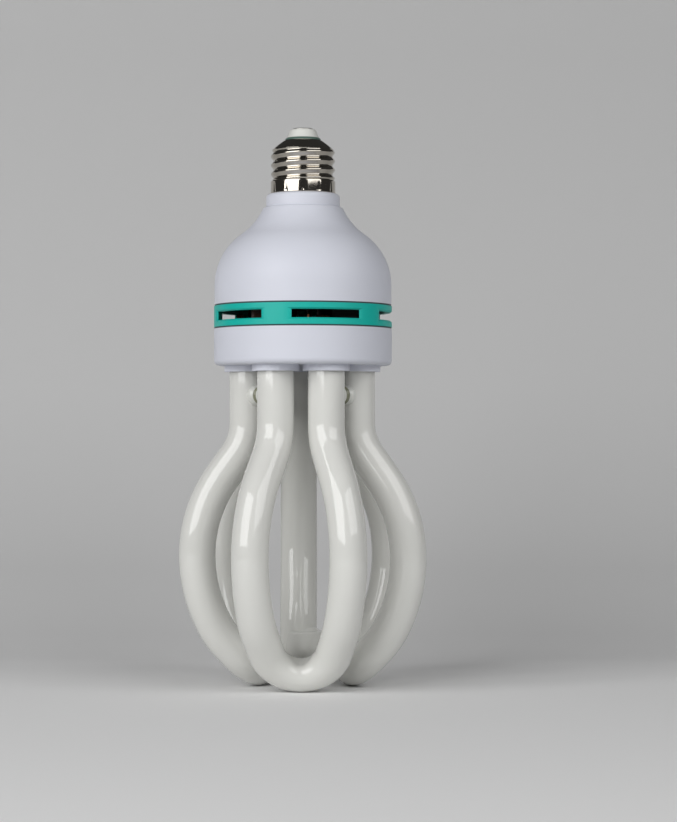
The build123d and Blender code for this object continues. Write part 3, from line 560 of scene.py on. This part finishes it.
def weld_bridge(node):
    """Draws two necks that meet at the weld, and lays them across the gap between two legs."""
    middle = sum(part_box(node), Vector()) / 2
    across = Vector((-middle.y, middle.x, 0)).normalized()
    far_neck = [(radius, -step) for radius, step in NECK_STEPS[:0:-1]]
    neck = turn_profile(node + "_necks", far_neck + NECK_STEPS, NECK_AROUND)
    cap_rims()
    close_mesh(neck, NECK_SOFT)
    neck.location = middle
    neck.rotation_euler = across.to_track_quat("Z", "Y").to_euler()
    bpy.ops.object.transform_apply(location=True, rotation=True, scale=False)
    neck.data.materials.append(bridge_finish(node + "_glass", across))
    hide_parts(node)
    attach(neck, "root")


for node in ("front_left_bridge", "front_right_bridge", "back_right_bridge"):
    weld_bridge(node)

# Cement: pale paste, pressed into the sleeves round the tops of the legs and baked hard. It bonds
# the glass to the cup.
cement = varied_finish(
    "set_cement", tone=(0.62, 0.60, 0.54), second_tone=(0.50, 0.48, 0.42), gloss=(0.8, 0.95),
    patch_scale=500, grain_scale=1500, grain_depth=0.12 * MM)
dress(cement, "tube_cement")

# Ballast: a round bare-laminate board with its wound parts, capacitors and wires soldered to it,
# seen only as dark shapes through the slots. The windings and the resin parts are a dark enamel and resin,
# painted darker still as a painted shade for the inside of the housing.
ENAMELLED_METAL = {"Metallic": 0.8}
laminate = varied_finish(
    "bare_laminate", tone=(0.20, 0.13, 0.055), second_tone=(0.15, 0.09, 0.04), gloss=(0.45, 0.6),
    patch_scale=180, grain_scale=1600, grain_depth=0.02 * MM)
dress(laminate, "circuit_board")
black = varied_finish(
    "black_moulding", tone=(0.022, 0.022, 0.024), second_tone=(0.035, 0.035, 0.036), gloss=(0.4, 0.55),
    patch_scale=200, grain_scale=2600, grain_depth=0.02 * MM)
dress(black, "bulk_capacitor", "choke_bobbin", "transistors", "rectifier_diodes")
ferrite = varied_finish(
    "sintered_ferrite", tone=(0.045, 0.045, 0.05), second_tone=(0.075, 0.072, 0.072), gloss=(0.55, 0.75),
    patch_scale=300, grain_scale=2000, grain_depth=0.05 * MM)
dress(ferrite, "choke_core", "filter_choke_core", "drive_toroid_core")
# Dark brown enamel, painted darker still as painted shade inside the housing.
copper_and_shade = varied_finish(
    "enamelled_copper_and_shade", tone=(0.18, 0.065, 0.027), second_tone=(0.13, 0.045, 0.02), gloss=(0.25, 0.35),
    patch_scale=300, grain_scale=1200, grain_depth=0.08 * MM, plain=ENAMELLED_METAL)
dress(copper_and_shade, "choke_winding", "filter_choke_winding", "drive_toroid_windings")
# Dark brown resin, painted darker still as painted shade inside the housing.
resin_and_shade = varied_finish(
    "dipped_resin_and_shade", tone=(0.11, 0.035, 0.018), second_tone=(0.08, 0.025, 0.012), gloss=(0.2, 0.35),
    patch_scale=220, grain_scale=900, grain_depth=0.05 * MM)
dress(resin_and_shade, "film_capacitors", "input_fuse", "thermistor")
sleeve = varied_finish(
    "wire_sleeve", tone=(0.62, 0.61, 0.57), second_tone=(0.54, 0.53, 0.49), gloss=(0.5, 0.65),
    patch_scale=300, grain_scale=1500, grain_depth=0.02 * MM)
dress(sleeve, "live_lead", "neutral_lead")

# Table and backdrop: one sheet of paper, laid flat and swept up behind the lamp. Its colour is painted
# from almost white where the lamp stands to greyer up the back, a painted shade for the light that falls
# off across the sheet. It shows from its front only, so that it doesn't hide the lamp from behind.
FLOOR_Z = cad_low.z
SHEET_WIDTH = 1.6
SHEET_FRONT = -1.1
SHEET_RISE = 0.05
SHEET_ROUGHNESS = 0.7
# Stops of the painted shade on the sheet: place along the sheet and grey.
SHEET_SHADE_STOPS = [(0.10, 0.85), (0.19, 0.70), (0.30, 0.61), (0.52, 0.60), (0.80, 0.51)]
SWEEP_START = 0.12
SWEEP_RADIUS = 0.35
SWEEP_STEPS = 24
SWEEP_NEAR = 0.1 * MM


def at_sweep(edge):
    """Whether an edge of the sheet is the one where the sweep starts."""
    return all(abs(sheet.data.vertices[k].co.y - SWEEP_START) < SWEEP_NEAR for k in edge.vertices)


bpy.ops.object.select_all(action="DESELECT")
bpy.ops.mesh.primitive_plane_add(size=1, location=(0, 0, 0))
sheet = bpy.context.object
sheet.name = sheet.data.name = "paper_sheet"
bpy.ops.object.mode_set(mode="EDIT")
bpy.ops.mesh.select_all(action="SELECT")
bpy.ops.transform.resize(value=(SHEET_WIDTH, SWEEP_START - SHEET_FRONT, 1), center_override=(0, 0, 0))
bpy.ops.transform.translate(value=(0, (SWEEP_START + SHEET_FRONT) / 2, FLOOR_Z))
pick(sheet, "EDGE", at_sweep)
bpy.ops.mesh.spin(
    steps=SWEEP_STEPS, angle=-pi / 2, center=(0, SWEEP_START, FLOOR_Z + SWEEP_RADIUS), axis=(1, 0, 0))
bpy.ops.mesh.extrude_region_move(TRANSFORM_OT_translate={"value": (0, 0, SHEET_RISE)})
bpy.ops.mesh.select_mode(type="VERT")
close_mesh(sheet)
bpy.ops.object.mode_set(mode="EDIT")
bpy.ops.mesh.flip_normals()
bpy.ops.object.mode_set(mode="OBJECT")
paper, tree, shader = new_finish("paper")
shader.inputs["Roughness"].default_value = SHEET_ROUGHNESS
axes = read_place(tree)
rise = tree.nodes.new("ShaderNodeMath")
rise.inputs[1].default_value = -FLOOR_Z
along = tree.nodes.new("ShaderNodeMath")
# Painted shade: the sheet's grey falls from near white to grey along the sheet.
painted_falloff = tree.nodes.new("ShaderNodeValToRGB")
while len(painted_falloff.color_ramp.elements) < len(SHEET_SHADE_STOPS):
    painted_falloff.color_ramp.elements.new(0.5)
for stop, (position, tone) in zip(painted_falloff.color_ramp.elements, SHEET_SHADE_STOPS):
    stop.position = position
    stop.color = (tone, tone, tone, 1)
side = tree.nodes.new("ShaderNodeNewGeometry")
unseen = tree.nodes.new("ShaderNodeBsdfTransparent")
one_sided = tree.nodes.new("ShaderNodeMixShader")
tree.links.new(axes["Z"], rise.inputs[0])
tree.links.new(axes["Y"], along.inputs[0])
tree.links.new(rise.outputs["Value"], along.inputs[1])
tree.links.new(along.outputs["Value"], painted_falloff.inputs["Fac"])
tree.links.new(painted_falloff.outputs["Color"], shader.inputs["Base Color"])
tree.links.new(side.outputs["Backfacing"], one_sided.inputs["Fac"])
tree.links.new(shader.outputs["BSDF"], one_sided.inputs[1])
tree.links.new(unseen.outputs["BSDF"], one_sided.inputs[2])
tree.links.new(one_sided.outputs["Shader"], tree.nodes["Material Output"].inputs["Surface"])
sheet.data.materials.append(paper)

# Light: two large softboxes in front of the lamp, left and right of the camera with the left one
# stronger, and a low even fill from all round.
LIGHT_AIM = Vector((0, -0.03, -0.1))
FILL_TONE = (0.5, 0.5, 0.5, 1)
FILL_STRENGTH = 0.08


def softbox(name, azimuth, elevation, distance, size, power):
    """An area light that faces the middle of the lamp from a direction."""
    light = bpy.data.lights.new(name, "AREA")
    light.shape = "RECTANGLE"
    light.size, light.size_y = size
    light.energy = power
    box = bpy.data.objects.new(name, light)
    bpy.context.scene.collection.objects.link(box)
    level = cos(radians(elevation))
    way = Vector((sin(radians(azimuth)) * level, -cos(radians(azimuth)) * level, sin(radians(elevation))))
    box.location = LIGHT_AIM + way * distance
    box.rotation_euler = way.to_track_quat("Z", "Y").to_euler()


softbox("left_softbox", azimuth=-40, elevation=24, distance=1.5, size=(1.35, 1.05), power=18)
softbox("right_softbox", azimuth=43, elevation=30, distance=1.5, size=(1.35, 0.9), power=9.4)
world = bpy.data.worlds.new("studio")
bpy.context.scene.world = world
world.use_nodes = True
fill = world.node_tree.nodes["Background"]
fill.inputs["Color"].default_value = FILL_TONE
fill.inputs["Strength"].default_value = FILL_STRENGTH

# Camera: level with the upper tubes, about a metre away and tilted up by less than half a degree,
# with a long lens.
CAMERA_PLACE = (0.01445, -0.977, -0.096)
CAMERA_TURN = (radians(90.4536), 0, 0)
camera = bpy.data.cameras.new("camera")
camera.sensor_width = 36
camera.lens = 105.1
camera.clip_start = 0.05
view = bpy.data.objects.new("camera", camera)
bpy.context.scene.collection.objects.link(view)
view.location = CAMERA_PLACE
view.rotation_euler = CAMERA_TURN
bpy.context.scene.camera = view
